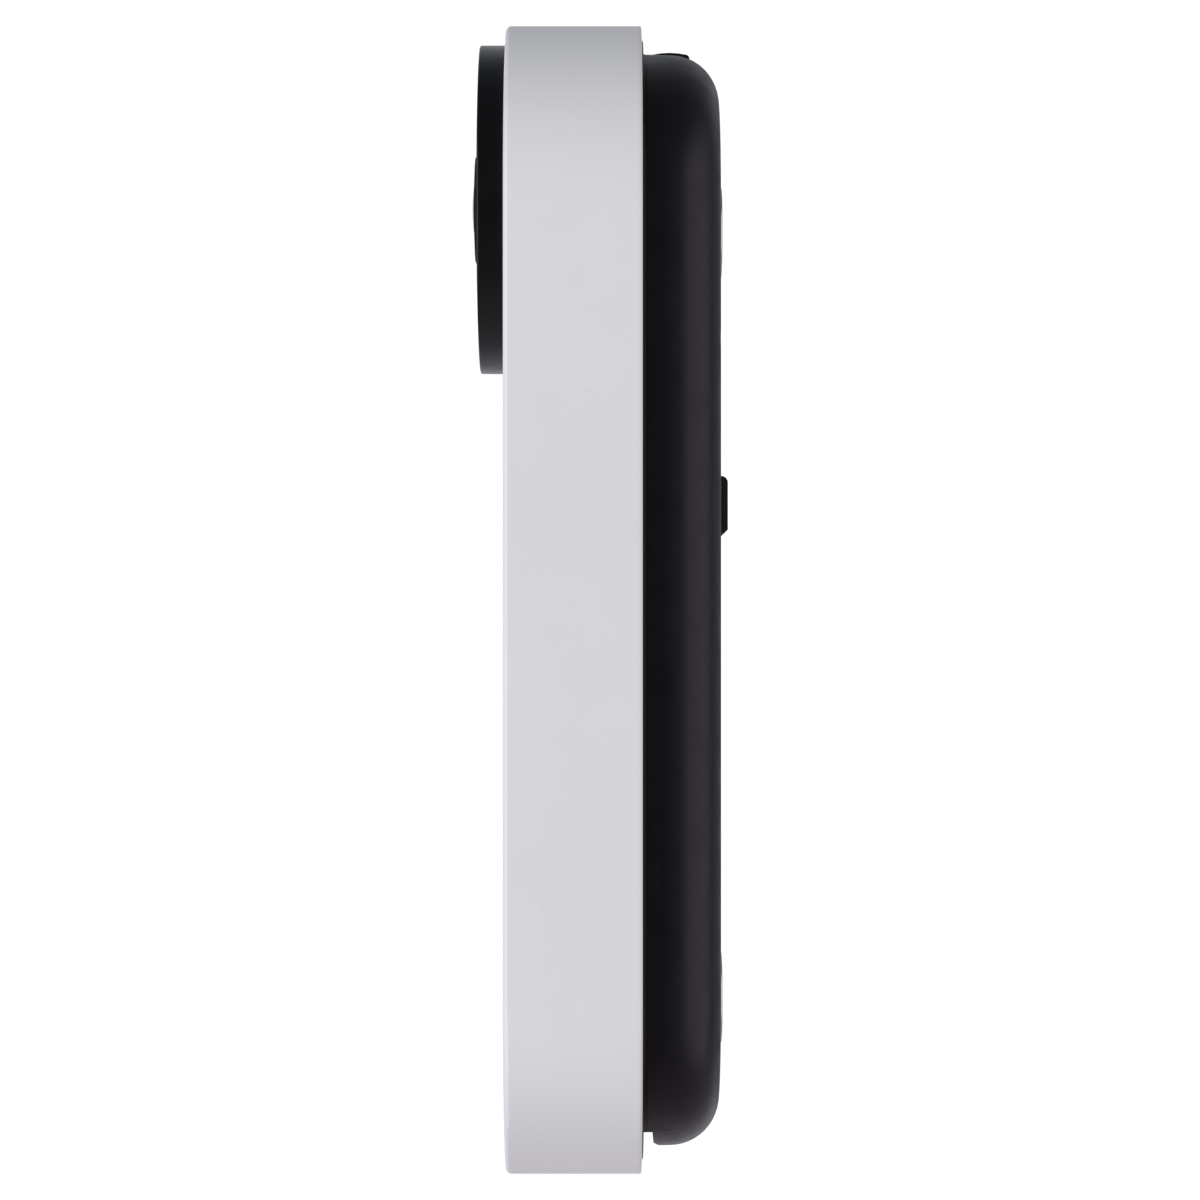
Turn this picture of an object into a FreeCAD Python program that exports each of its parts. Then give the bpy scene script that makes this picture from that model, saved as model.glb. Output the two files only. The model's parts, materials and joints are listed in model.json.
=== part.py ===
"""A wall-mounted video doorbell with full-round ends, built as an assembly of separate pieces.

Frame: +Z up, -Y towards the visitor, +X towards the visitor's right.
The origin is the centre of the flat back, at mid height. All values are millimetres.

The white front casing is a pill-shaped tray. A black round camera ring stands out of its upper end, and a
push button with a light ring sits flush in its lower end. The black rear shell is a smaller pill-shaped bowl
with a flange that closes the casing. Boards, speaker, battery and camera sit between the two.
"""
import FreeCAD
import Part
import math
import os

V = FreeCAD.Vector

# ---- driving dimensions ----
HEIGHT = 141.0            # front casing, end to end
WIDTH = 45.0              # front casing, side to side; its ends are half rounds of this width
CASING_DEPTH = 16.55
SHELL_DEPTH = 9.5         # back of the doorbell to the casing's rear edge
SHELL_INSET = 3.42        # shell outline inside the casing outline, where it leaves the flange
SHELL_DRAFT = 0.15        # the shell outline draws in this much more on its way to the back
SHELL_ROUND = 6.0         # round of the shell's rear edge
RING_RADIUS = 20.15       # camera ring
RING_PROUD = 3.2
CASING_WALL = 1.6         # at the rear opening
CASING_RIB = 2.6          # side wall in front of the gasket ledge
FRONT_WALL = 1.8
SHELL_WALL = 1.6
FLANGE_PROUD = 0.2        # flange behind the casing's rear edge
FLANGE_THICK = 2.0
GASKET_THICK = 0.4
CHASSIS_THICK = 1.2
BRACKET_THICK = 1.2
BOARD_THICK = 1.0
GAP = 0.05                # running and assembly clearance
BITE = 0.3                # how far a fused feature reaches into the wall that carries it
PILOT = 1.0               # radius of the hole that a larger screw cuts its thread in
SMALL_PILOT = 0.8         # the same for a smaller screw

# ---- stations along Y ----
Y_EDGE = -SHELL_DEPTH                   # casing's rear edge
Y_FRONT = Y_EDGE - CASING_DEPTH         # casing's front face
Y_INSIDE = Y_FRONT + FRONT_WALL
Y_FLANGE = Y_EDGE + FLANGE_PROUD
Y_FLANGE_FRONT = Y_FLANGE - FLANGE_THICK
Y_LEDGE = Y_FLANGE_FRONT - GASKET_THICK
Y_RING = Y_FRONT - RING_PROUD           # camera ring's front face
Y_COVER = Y_RING + GAP                  # camera cover's front face
Y_COVER_BACK = Y_RING + 1.27
Y_IR_BOARD = Y_INSIDE - 0.25            # infrared board, rear face
Y_BEZEL_EDGE = Y_RING - 0.65            # lens bezel: its cone's outer edge and inner edge
Y_BEZEL_TOP = Y_RING - 0.8
Y_DOME_EDGE = Y_RING - 0.82             # lens window: rim of its dome, crown of its dome, and seat
Y_DOME_TOP = Y_RING - 1.02
Y_DOME_SEAT = Y_RING - 0.1
Y_SENSOR = -14.6                        # image sensor board, rear face
Y_SENSOR_FRONT = Y_SENSOR - BOARD_THICK
Y_BARREL = Y_COVER_BACK + 0.1
Y_BARREL_BACK = Y_SENSOR_FRONT - 2.2
Y_LIGHT = Y_FRONT + 0.05                # light ring
Y_LIGHT_BACK = Y_FRONT + 2.65
Y_CAP = Y_FRONT + 0.1                   # button cap
Y_CAP_BACK = Y_LIGHT_BACK + 0.9
Y_BUTTON_BOARD = -17.6                  # button board, rear face
Y_BUTTON_BOARD_FRONT = Y_BUTTON_BOARD - BOARD_THICK
Y_SPEAKER = Y_INSIDE + 0.8
Y_BOWL = -SHELL_WALL                    # inner face of the shell's back
Y_CHASSIS = Y_LEDGE - 1.0               # chassis plate, rear face
Y_CHASSIS_FRONT = Y_CHASSIS - CHASSIS_THICK
Y_MAIN = Y_CHASSIS_FRONT - 2.4          # main board, rear face
Y_MAIN_FRONT = Y_MAIN - BOARD_THICK
Y_IO = -9.2                             # connector board, front face
Y_IO_REAR = Y_IO + BOARD_THICK
Y_RECESS = -0.8                         # floor of the port cover's recess in the back
Y_CONTACT_SEAT = -0.6
Y_SCREW_WELL = -7.0                     # where the heads of the shell screws sit

# ---- places in the XZ plane ----
Z_CAMERA = HEIGHT / 2 - WIDTH / 2
Z_BUTTON = -Z_CAMERA
Z_SPEAKER = -12.0
Z_MIC = 21.5
Z_PORT = 11.4
X_PORT = -3.2
X_SETUP = 6.0
Z_CONTACTS = (45.2, -48.9)
X_CHASSIS_BOSS = 17.6
Z_CHASSIS_BOSSES = (22.0, -24.0)
SHELL_SCREWS = [(-11.5, 31.5), (11.5, 31.5), (-11.0, -46.0), (11.0, -46.0)]
MAIN_SCREWS = [(-12.0, 22.5), (12.0, 22.5), (-12.0, -24.5), (12.0, -24.5)]
IO_SCREWS = [(-10.8, 24.3), (10.8, 24.3)]
IO_RESTS = [(-10.8, 5.6), (10.8, 5.6)]
RING_BOSS_CIRCLE = 15.2
BUTTON_BOSS_CIRCLE = 16.2
BOSS_ANGLES = (90.0, 210.0, 330.0)
SENSOR_POST_REACH = 9.6

# ---- sizes that several pieces share ----
COVER_RADIUS = 18.9       # dark camera cover
COVER_HOLE = 7.05
DOME_RADIUS = 2.9
LIGHT_OUTER = 12.8
LIGHT_INNER = 10.9
CAP_RADIUS = 10.7
SWITCH_HEIGHT = 2.1
Y_SWITCH = Y_BUTTON_BOARD_FRONT - SWITCH_HEIGHT
Y_STEM = Y_SWITCH - 1.2
SPEAKER_HALF_X = 13.0
SPEAKER_HALF_Z = 9.0
SPEAKER_DEPTH = 3.2
BATTERY_HALF_X = 15.0
Y_BATTERY = (-12.0, -2.8)
Z_BATTERY = (-40.5, 1.5)
STUD_RADIUS = 1.5
DOOR_HINGE_Y = 0.1        # port cover
DOOR_HINGE_Z = Z_PORT + 2.8
DOOR_HALF_X = 10.0
DOOR_HALF_THICK = 0.8
DOOR_RECESS_TOP = Z_PORT + 5.3

PARTS = "parts"


# ---- shape helpers ----
def disc(radius, y0, y1, x=0.0, z=0.0):
    """A cylinder along Y."""
    return Part.makeCylinder(radius, y1 - y0, V(x, y0, z), V(0, 1, 0))


def tube(outer, inner, y0, y1, x=0.0, z=0.0):
    """A cylinder along Y with a round hole through it."""
    return disc(outer, y0, y1, x, z).cut(disc(inner, y0 - 1, y1 + 1, x, z))


def block(x0, x1, y0, y1, z0, z1):
    """A box between two corners."""
    return Part.makeBox(x1 - x0, y1 - y0, z1 - z0, V(x0, y0, z0))


def pad(width, height, y0, y1, x, z):
    """A box centred on (x, z)."""
    return block(x - width / 2, x + width / 2, y0, y1, z - height / 2, z + height / 2)


def pill(half_width, half_height, y0, y1):
    """A prism along Y with straight sides and full-round ends, centred on the origin's axis."""
    straight = half_height - half_width
    low_right, high_right = V(half_width, y0, -straight), V(half_width, y0, straight)
    high_left, low_left = V(-half_width, y0, straight), V(-half_width, y0, -straight)
    edges = [
        Part.LineSegment(low_right, high_right).toShape(),
        Part.Arc(high_right, V(0, y0, half_height), high_left).toShape(),
        Part.LineSegment(high_left, low_left).toShape(),
        Part.Arc(low_left, V(0, y0, -half_height), low_right).toShape(),
    ]
    return Part.Face(Part.Wire(edges)).extrude(V(0, y1 - y0, 0))


def tapered_pill(half_width, half_height, y0, y1, draft):
    """A pill that draws in evenly from y0 to y1."""
    wires = []
    for y, inset in ((y0, 0), (y1, draft)):
        end = pill(half_width - inset, half_height - inset, y, y + 1)
        wires.append(Part.Wire(Part.sortEdges(edges_at(end, y))[0]))
    return Part.makeLoft(wires, True, True)


def casing_pill(inset, y0, y1):
    """A pill that follows the casing's outline, a constant distance inside it."""
    return pill(WIDTH / 2 - inset, HEIGHT / 2 - inset, y0, y1)


def slot(length, width, y0, y1, x, z):
    """A prism along Y with a slot outline that runs along X."""
    half = length / 2 - width / 2
    ends = [disc(width / 2, y0, y1, x + side * half, z) for side in (-1, 1)]
    return pad(2 * half, width, y0, y1, x, z).multiFuse(ends).removeSplitter()


def prism(outline, x0, x1):
    """A prism along X with a polygon of points (y, z) for its section."""
    points = [V(x0, y, z) for y, z in outline + outline[:1]]
    return Part.Face(Part.makePolygon(points)).extrude(V(x1 - x0, 0, 0))


def edges_at(shape, y):
    """The edges that lie in the plane Y = y."""
    return [e for e in shape.Edges if abs(e.BoundBox.YMin - y) < 1e-4 and abs(e.BoundBox.YMax - y) < 1e-4]


def soften(shape, size, y):
    """The shape with its edges at that station rounded."""
    return shape.makeFillet(size, edges_at(shape, y))


def side_edges(shape, z_high=math.inf):
    """The edges that run along Y, or only those below z_high."""
    long_enough = 0.3 * shape.BoundBox.YLength
    found = [e for e in shape.Edges if e.BoundBox.YLength > long_enough and e.BoundBox.ZMax < z_high]
    return [e for e in found if e.BoundBox.XLength + e.BoundBox.ZLength < 1e-4]


def round_corners(shape, radius, z_high=math.inf):
    """The shape with its edges along Y rounded, or only those below z_high."""
    return shape.makeFillet(radius, side_edges(shape, z_high))


def on_circle(radius, angle, z_centre):
    """The point (x, z) at that angle round (0, z_centre)."""
    turn = math.radians(angle)
    return radius * math.cos(turn), z_centre + radius * math.sin(turn)


def turned(outline, z_centre):
    """A solid of revolution about the Y axis through (0, z_centre). The outline is points (radius, y)."""
    points = [V(radius, y, 0) for radius, y in outline + outline[:1]]
    solid = Part.Face(Part.makePolygon(points)).revolve(V(0, 0, 0), V(0, 1, 0), 360)
    solid.translate(V(0, 0, z_centre))
    return solid


def domed_disc(radius, y_top, y_edge, y_back, z):
    """A disc whose front is a shallow spherical dome from y_edge at its rim to y_top at its centre."""
    rise = y_edge - y_top
    sphere = (radius**2 + rise**2) / (2 * rise)
    ball = Part.makeSphere(sphere, V(0, y_top + sphere, z))
    return disc(radius, y_top - 1, y_back, 0, z).common(ball)


def screw(x, z, y_seat, length, shank=0.95, head=1.9, head_height=1.2, head_behind=True):
    """A pan-head screw along Y with a cross recess. y_seat is the underside of its head."""
    y_top = y_seat + head_height
    body = soften(disc(head, y_seat, y_top, x, z), head_height * 0.45, y_top)
    arm, half_slot, depth = head * 0.62, head * 0.13, head_height * 0.55
    for half_x, half_z in ((arm, half_slot), (half_slot, arm)):
        body = body.cut(pad(2 * half_x, 2 * half_z, y_top - depth, y_top + 1, x, z))
    shaft = disc(shank, y_seat - length, y_seat, x, z)
    shaft = shaft.makeChamfer(shank * 0.35, edges_at(shaft, y_seat - length))
    body = body.fuse(shaft).removeSplitter()
    if not head_behind:
        body.rotate(V(x, y_seat, z), V(0, 0, 1), 180)
    return body


def cable(points, radius, bend):
    """A round wire along straight runs joined by tangent arcs."""
    points = [V(*p) for p in points]
    edges, start = [], points[0]
    for before, corner, after in zip(points, points[1:], points[2:]):
        run_in, run_out = (corner - before).normalize(), (after - corner).normalize()
        half_turn = run_in.getAngle(run_out) / 2
        reach = bend * math.tan(half_turn)
        first, last = corner - run_in * reach, corner + run_out * reach
        inward = (run_out - run_in).normalize()
        middle = corner + inward * (bend / math.cos(half_turn) - bend)
        edges.append(Part.LineSegment(start, first).toShape())
        edges.append(Part.Arc(first, middle, last).toShape())
        start = last
    edges.append(Part.LineSegment(start, points[-1]).toShape())
    section = Part.Wire(Part.makeCircle(radius, points[0], points[1] - points[0]))
    return Part.Wire(edges).makePipeShell([section], True, False)


def ribbon(points, x0, x1):
    """A flat flexible circuit: a strip of constant thickness along points (y, z), from x0 to x1."""
    thick = 0.2
    pieces = []
    for (y0, z0), (y1, z1) in zip(points, points[1:]):
        along = V(0, y1 - y0, z1 - z0).normalize()
        side_y, side_z = -along.z * thick / 2, along.y * thick / 2
        pieces.append(prism([(y0 + side_y, z0 + side_z), (y1 + side_y, z1 + side_z),
                             (y1 - side_y, z1 - side_z), (y0 - side_y, z0 - side_z)], x0, x1))
    for y, z in points[1:-1]:
        pieces.append(Part.makeCylinder(thick / 2, x1 - x0, V(x0, y, z), V(1, 0, 0)))
    return pieces[0].multiFuse(pieces[1:]).removeSplitter()


def chips(rows, y_face, direction):
    """Small rectangular components on a board face: (x, z, width, height, thickness) each."""
    made = []
    for x, z, width, height, thick in rows:
        y0, y1 = sorted((y_face, y_face + direction * thick))
        made.append(pad(width, height, y0, y1, x, z))
    return made


def holes(radius, y0, y1, places):
    """Cutters for round holes at places (x, z)."""
    return [disc(radius, y0, y1, x, z) for x, z in places]


def cut_all(body, cutters):
    """The body with all the cutters taken away, in one piece of work."""
    return body.cut(Part.makeCompound(cutters)).removeSplitter()


def save(name, *solids):
    """Writes one node. Several solids make one node of separate pieces."""
    shape = solids[0] if len(solids) == 1 else Part.makeCompound(list(solids))
    bad = [s for s in shape.Solids if not s.isValid() or s.Volume <= 0]
    if bad or not shape.Solids:
        raise ValueError(f"{name} has a bad solid")
    shape.exportStep(os.path.join(PARTS, f"{name}.step"))
    print(f"{name}: {len(shape.Solids)} solid(s), {sum(s.Volume for s in shape.Solids):.1f} mm3")


def ring_bosses():
    return [on_circle(RING_BOSS_CIRCLE, angle, Z_CAMERA) for angle in BOSS_ANGLES]


def button_bosses():
    return [on_circle(BUTTON_BOSS_CIRCLE, angle, Z_BUTTON) for angle in BOSS_ANGLES]


def sensor_posts():
    reach = SENSOR_POST_REACH
    return [(-reach, Z_CAMERA + reach), (reach, Z_CAMERA - reach)]


def chassis_bosses():
    return [(side * X_CHASSIS_BOSS, z) for side in (-1, 1) for z in Z_CHASSIS_BOSSES]


# ---- housing ----
def front_casing():
    """The white tray: side walls, a front wall with its openings, and screw bosses."""
    front_round, rear_round = 0.65, 0.25
    spigot_hole, light_hole, mic_hole = 18.4, 12.9, 0.5
    body = soften(casing_pill(0, Y_FRONT, Y_EDGE), front_round, Y_FRONT)
    body = soften(body, rear_round, Y_EDGE)
    body = body.cut(casing_pill(CASING_WALL, Y_LEDGE, Y_EDGE + 1))
    body = body.cut(casing_pill(CASING_RIB, Y_INSIDE, Y_LEDGE + 1))
    body = with_chassis_bosses(body)
    body = with_button_bosses(body)
    cuts = [front_hole(spigot_hole, 0, Z_CAMERA), front_hole(light_hole, 0, Z_BUTTON)]
    cuts.append(front_hole(mic_hole, 0, Z_MIC))
    return cut_all(body, cuts + grille_holes())


def front_hole(radius, x, z):
    """A cutter for a round hole through the casing's front wall."""
    return disc(radius, Y_FRONT - 1, Y_INSIDE + 1, x, z)


def with_chassis_bosses(body):
    """Adds four bosses for the chassis screws, each tied to the side wall by a rib."""
    boss, half_rib, pilot_depth = 2.2, 1.2, 6.5
    wall = WIDTH / 2 - CASING_RIB + BITE
    for x, z in chassis_bosses():
        x0, x1 = sorted((x, math.copysign(wall, x)))
        rib = block(x0, x1, Y_INSIDE, Y_CHASSIS_FRONT, z - half_rib, z + half_rib)
        body = body.multiFuse([disc(boss, Y_INSIDE - BITE, Y_CHASSIS_FRONT, x, z), rib])
        body = body.cut(disc(PILOT, Y_CHASSIS_FRONT - pilot_depth, Y_CHASSIS_FRONT + 1, x, z))
    return body


def with_button_bosses(body):
    """Adds three bosses for the button board."""
    boss, pilot_depth = 1.9, 4.5
    for x, z in button_bosses():
        body = body.fuse(disc(boss, Y_INSIDE - BITE, Y_BUTTON_BOARD_FRONT, x, z))
        body = body.cut(disc(PILOT, Y_BUTTON_BOARD_FRONT - pilot_depth, Y_BUTTON_BOARD_FRONT + 1, x, z))
    return body


def grille_holes():
    """Three staggered rows of small speaker holes."""
    radius, pitch = 0.45, 1.9
    row_pitch = pitch * math.sin(math.radians(60))
    made = []
    for row, count in zip((-1, 0, 1), (6, 7, 6)):
        for i in range(count):
            x = (i - (count - 1) / 2) * pitch
            made.append(front_hole(radius, x, Z_SPEAKER + row * row_pitch))
    return made


def rear_shell():
    """The black bowl behind the casing, with its flange, screw columns, notch and catch."""
    half_width, half_height = WIDTH / 2 - SHELL_INSET, HEIGHT / 2 - SHELL_INSET
    neck_round, column, y_floor = 0.3, 3.0, -1.0
    flange = casing_pill(CASING_WALL + GAP, Y_FLANGE_FRONT, Y_FLANGE)
    bowl = soften(tapered_pill(half_width, half_height, Y_FLANGE_FRONT, 0, SHELL_DRAFT), SHELL_ROUND, 0)
    body = bowl.fuse(flange)
    neck = [e for e in edges_at(body, Y_FLANGE) if e.BoundBox.XMax < half_width + BITE]
    body = body.makeFillet(neck_round, neck)
    inner = pill(half_width - SHELL_WALL, half_height - SHELL_WALL, Y_FLANGE_FRONT - 1, Y_BOWL)
    body = body.cut(soften(inner, SHELL_ROUND - SHELL_WALL, Y_BOWL))
    columns = [disc(column, Y_FLANGE_FRONT, y_floor, x, z) for x, z in SHELL_SCREWS]
    body = body.multiFuse([shell_land().common(bowl), port_land(y_floor), bracket_catch()] + columns)
    return cut_all(body, notch_cuts() + screw_wells() + contact_seats() + port_cuts())


def shell_land():
    """The thick floor inside the lower end, above the bracket's notch."""
    half_width, y_rear, z_top = 10.0, -5.2, -62.8
    return block(-half_width, half_width, Y_FLANGE_FRONT, y_rear, -HEIGHT / 2, z_top)


def port_land(y_rear):
    """The thicker wall round the port and the setup button."""
    half_width, depth, z0, z1 = 13.5, 1.8, 4.6, 18.6
    return block(-half_width, half_width, y_rear - depth, y_rear, z0, z1)


def bracket_catch():
    """A small arched nub on the upper end, which the wall bracket snaps over."""
    half_width, rear_round = 2.5, 0.5
    y_front, y_crown, y_rear = -8.0, -6.2, -3.6
    z_base, z_front, z_crown, z_rear = 62.0, 66.9, 67.1, 66.78
    outline = [(y_front, z_front), (y_crown, z_crown), (y_rear, z_rear), (y_rear, z_base), (y_front, z_base)]
    front, crown, rear, rear_foot, front_foot = [V(-half_width, y, z) for y, z in outline]
    sides = Part.makePolygon([rear, rear_foot, front_foot, front]).Edges
    section = Part.Face(Part.Wire([Part.Arc(front, crown, rear).toShape()] + sides))
    nub = section.extrude(V(2 * half_width, 0, 0))
    top_rear = [e for e in nub.Edges if e.BoundBox.ZMin > z_rear - 1e-4 and e.BoundBox.YMin > y_rear - 1e-4]
    return nub.makeFillet(rear_round, top_rear)


def notch_cuts():
    """The wall bracket's notch across the lower end, with a bevelled lip behind it."""
    half_width, y_rear, z_ceiling, lip = 12.0, -8.05, -64.4, 0.95
    z_low = -HEIGHT / 2
    z_shell = z_low + SHELL_INSET
    notch = block(-half_width, half_width, Y_FLANGE, y_rear, z_low, z_ceiling)
    section = [(y_rear, z_shell + lip), (y_rear + lip, z_shell), (y_rear, z_shell)]
    return [notch, prism(section, -half_width, half_width)]


def screw_wells():
    """Wells for the shell screws' heads, and their through holes."""
    well, through = 2.2, 1.15
    return holes(well, Y_SCREW_WELL, 1, SHELL_SCREWS) + holes(through, Y_FLANGE_FRONT - 1, 1, SHELL_SCREWS)


def contact_seats():
    """Shallow round seats for the two contacts, and the holes for their studs."""
    seat = 5.7
    places = [(0, z) for z in Z_CONTACTS]
    return holes(seat, Y_CONTACT_SEAT, 1, places) + holes(STUD_RADIUS + GAP, Y_BOWL - 1, 1, places)


def port_cuts():
    """The recess of the port cover with its finger scoop, and the openings of port and setup button."""
    corner, scoop, depth = 1.5, 3.2, -4.0
    z_low = Z_PORT - 3.85
    half_width = DOOR_HALF_X + 0.25
    recess = block(-half_width, half_width, Y_RECESS, 1, z_low, DOOR_RECESS_TOP)
    return [
        round_corners(recess, corner),
        disc(scoop, Y_RECESS, 1, 0, z_low),
        slot(9.7, 4.2, depth, 1, X_PORT, Z_PORT - 0.1),
        disc(1.5, depth, 1, X_SETUP, Z_PORT),
        disc(2.3, depth, -1.9, X_SETUP, Z_PORT),
    ]


def shell_gasket():
    """A flat rubber frame between the shell's flange and the casing's ledge."""
    outer, inner = CASING_WALL + 0.1, CASING_RIB + 0.4
    opening = casing_pill(inner, Y_LEDGE - 1, Y_FLANGE_FRONT + 1)
    return casing_pill(outer, Y_LEDGE, Y_FLANGE_FRONT).cut(opening)


# ---- camera ----
def camera_ring():
    """The black round housing that stands out of the casing, with a spigot through its front wall."""
    spigot, bore, edge = 18.3, 17.0, 0.25
    groove_outer, groove_inner, groove_depth = 19.6, 18.7, 0.5
    post, pilot_start = 2.2, 0.5
    body = soften(disc(RING_RADIUS, Y_RING, Y_FRONT, 0, Z_CAMERA), edge, Y_RING)
    body = body.fuse(disc(spigot, Y_FRONT - 1, Y_INSIDE, 0, Z_CAMERA))
    body = body.cut(disc(COVER_RADIUS + GAP, Y_RING - 1, Y_COVER_BACK, 0, Z_CAMERA))
    body = body.cut(disc(bore, Y_RING, Y_INSIDE + 1, 0, Z_CAMERA))
    body = body.cut(tube(groove_outer, groove_inner, Y_FRONT - groove_depth, Y_FRONT + 1, 0, Z_CAMERA))
    body = body.multiFuse([disc(post, Y_COVER_BACK, Y_INSIDE, x, z) for x, z in ring_bosses()])
    return cut_all(body, holes(PILOT, Y_COVER_BACK + pilot_start, Y_INSIDE + 1, ring_bosses()))


def camera_ring_seal():
    """The rubber ring in the groove behind the camera ring."""
    outer, inner, thick = 19.55, 18.75, 0.5
    return tube(outer, inner, Y_FRONT - thick, Y_FRONT, 0, Z_CAMERA)


def camera_cover():
    """The dark infrared-clear disc, with a hole for the lens bezel."""
    edge = 0.2
    body = soften(disc(COVER_RADIUS, Y_COVER, Y_COVER_BACK, 0, Z_CAMERA), edge, Y_COVER)
    return body.cut(disc(COVER_HOLE, Y_COVER - 1, Y_COVER_BACK + 1, 0, Z_CAMERA))


def lens_bezel():
    """The shallow black cone round the lens window. Its steep rim stands on the cover."""
    ledge, window, cone, foot = 2.4, DOME_RADIUS + GAP, 6.35, 7.6
    sleeve_outer, sleeve_inner, plate = COVER_HOLE - GAP, 5.6, 0.5
    y_plate = Y_DOME_SEAT + plate
    front = [(ledge, Y_DOME_SEAT), (window, Y_DOME_SEAT), (window, Y_BEZEL_TOP), (cone, Y_BEZEL_EDGE)]
    side = [(foot, Y_COVER), (sleeve_outer, Y_COVER), (sleeve_outer, Y_COVER_BACK)]
    back = [(sleeve_inner, Y_COVER_BACK), (sleeve_inner, y_plate), (ledge, y_plate)]
    return turned(front + side + back, Z_CAMERA)


def lens_dome():
    """The clear domed window, a small shallow meniscus with a flat seat."""
    rim, thick = 2.4, 0.45
    body = domed_disc(DOME_RADIUS, Y_DOME_TOP, Y_DOME_EDGE, Y_DOME_SEAT, Z_CAMERA)
    return body.cut(domed_disc(rim, Y_DOME_TOP + thick, Y_DOME_EDGE + thick, Y_DOME_SEAT + 1, Z_CAMERA))


def lens_baffle():
    """The rubber sleeve that keeps the infrared light out of the lens."""
    outer, inner, overlap = 8.4, 7.3, 0.2
    return tube(outer, inner, Y_COVER_BACK, Y_IR_BOARD + overlap, 0, Z_CAMERA)


def ir_led_board():
    """The ring-shaped infrared board, notched round the camera ring's posts."""
    outer, inner, notch = 16.8, 8.6, 2.5
    board = tube(outer, inner, Y_IR_BOARD - BOARD_THICK, Y_IR_BOARD, 0, Z_CAMERA)
    return cut_all(board, holes(notch, Y_IR_BOARD - 2, Y_IR_BOARD + 1, ring_bosses()))


def ir_leds():
    """Six infrared emitters with round lenses, on the ring board."""
    count, circle, width, base, dome = 6, 12.4, 3.0, 1.1, 1.15
    sunk = 0.35
    face = Y_IR_BOARD - BOARD_THICK
    made = []
    for i in range(count):
        x, z = on_circle(circle, 360 / count * i, Z_CAMERA)
        lens = Part.makeSphere(dome, V(x, face - base + sunk, z))
        lens = lens.common(pad(width, width, face - 3, face, x, z))
        made.append(pad(width, width, face - base, face, x, z).fuse(lens).removeSplitter())
    return made


def camera_bracket():
    """The frame that clamps the camera ring to the casing and carries the sensor board."""
    plate, well, bore, post, through, pilot_depth = 19.5, 11.0, 9.5, 1.9, 1.1, 4.0
    body = disc(plate, Y_INSIDE, Y_INSIDE + BRACKET_THICK, 0, Z_CAMERA)
    posts = [disc(post, Y_INSIDE, Y_SENSOR_FRONT, x, z) for x, z in sensor_posts()]
    body = body.multiFuse([disc(well, Y_INSIDE, Y_SENSOR_FRONT, 0, Z_CAMERA)] + posts)
    cuts = [disc(bore, Y_INSIDE - 1, Y_SENSOR_FRONT + 1, 0, Z_CAMERA)]
    cuts += holes(through, Y_INSIDE - 1, Y_INSIDE + BRACKET_THICK + 1, ring_bosses())
    cuts += holes(SMALL_PILOT, Y_SENSOR_FRONT - pilot_depth, Y_SENSOR_FRONT + 1, sensor_posts())
    wire_gap = pad(7.0, 2.4, Y_INSIDE - 1, Y_INSIDE + BRACKET_THICK + 1, 0, Z_CAMERA - 14.4)
    return cut_all(body, cuts + [wire_gap])


def lens_holder():
    """The threaded seat of the lens barrel, bonded to the sensor board."""
    foot, collar, bore, foot_height = 9.2, 7.6, 6.6, 1.6
    body = disc(foot, Y_SENSOR_FRONT - foot_height, Y_SENSOR_FRONT, 0, Z_CAMERA)
    body = body.fuse(disc(collar, Y_INSIDE + 0.4, Y_SENSOR_FRONT, 0, Z_CAMERA))
    return body.cut(disc(bore, Y_INSIDE - 1, Y_SENSOR_FRONT + 1, 0, Z_CAMERA)).removeSplitter()


def lens_barrel():
    """A stepped black tube with grip ribs near its front."""
    outer, rib_depth, front_bore, rear_bore, step = 6.5, 0.35, 5.3, 4.6, 2.2
    first_rib, rib_pitch, rib_gap = 1.0, 0.8, 0.4
    body = disc(outer, Y_BARREL, Y_BARREL_BACK, 0, Z_CAMERA)
    for i in range(3):
        y = Y_BARREL + first_rib + rib_pitch * i
        body = body.cut(tube(outer + 1, outer - rib_depth, y, y + rib_gap, 0, Z_CAMERA))
    body = body.cut(disc(rear_bore, Y_BARREL + step, Y_BARREL_BACK + 1, 0, Z_CAMERA))
    return body.cut(disc(front_bore, Y_BARREL - 1, Y_BARREL + step, 0, Z_CAMERA)).removeSplitter()


def lens_elements():
    """Three glass elements in the barrel, the front one domed."""
    front_radius, rear_radius, rise = 5.25, 4.55, 0.8
    face = Y_BARREL + 0.3
    front = domed_disc(front_radius, face, face + rise, face + 1.9, Z_CAMERA)
    middle = disc(rear_radius, Y_BARREL + 3.6, Y_BARREL + 5.0, 0, Z_CAMERA)
    rear = disc(rear_radius, Y_BARREL_BACK - 1.8, Y_BARREL_BACK - 0.4, 0, Z_CAMERA)
    return [front, middle, rear]


def image_sensor():
    """A sensor package with a window step."""
    package = pad(8.4, 7.2, Y_SENSOR_FRONT - 0.8, Y_SENSOR_FRONT, 0, Z_CAMERA)
    return package.fuse(pad(6.8, 5.8, Y_SENSOR_FRONT - 1.1, Y_SENSOR_FRONT, 0, Z_CAMERA))


def sensor_board():
    """The square board behind the lens."""
    width, corner, through = 24.0, 1.5, 1.0
    body = round_corners(pad(width, width, Y_SENSOR_FRONT, Y_SENSOR, 0, Z_CAMERA), corner)
    return cut_all(body, holes(through, Y_SENSOR_FRONT - 1, Y_SENSOR + 1, sensor_posts()))


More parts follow.
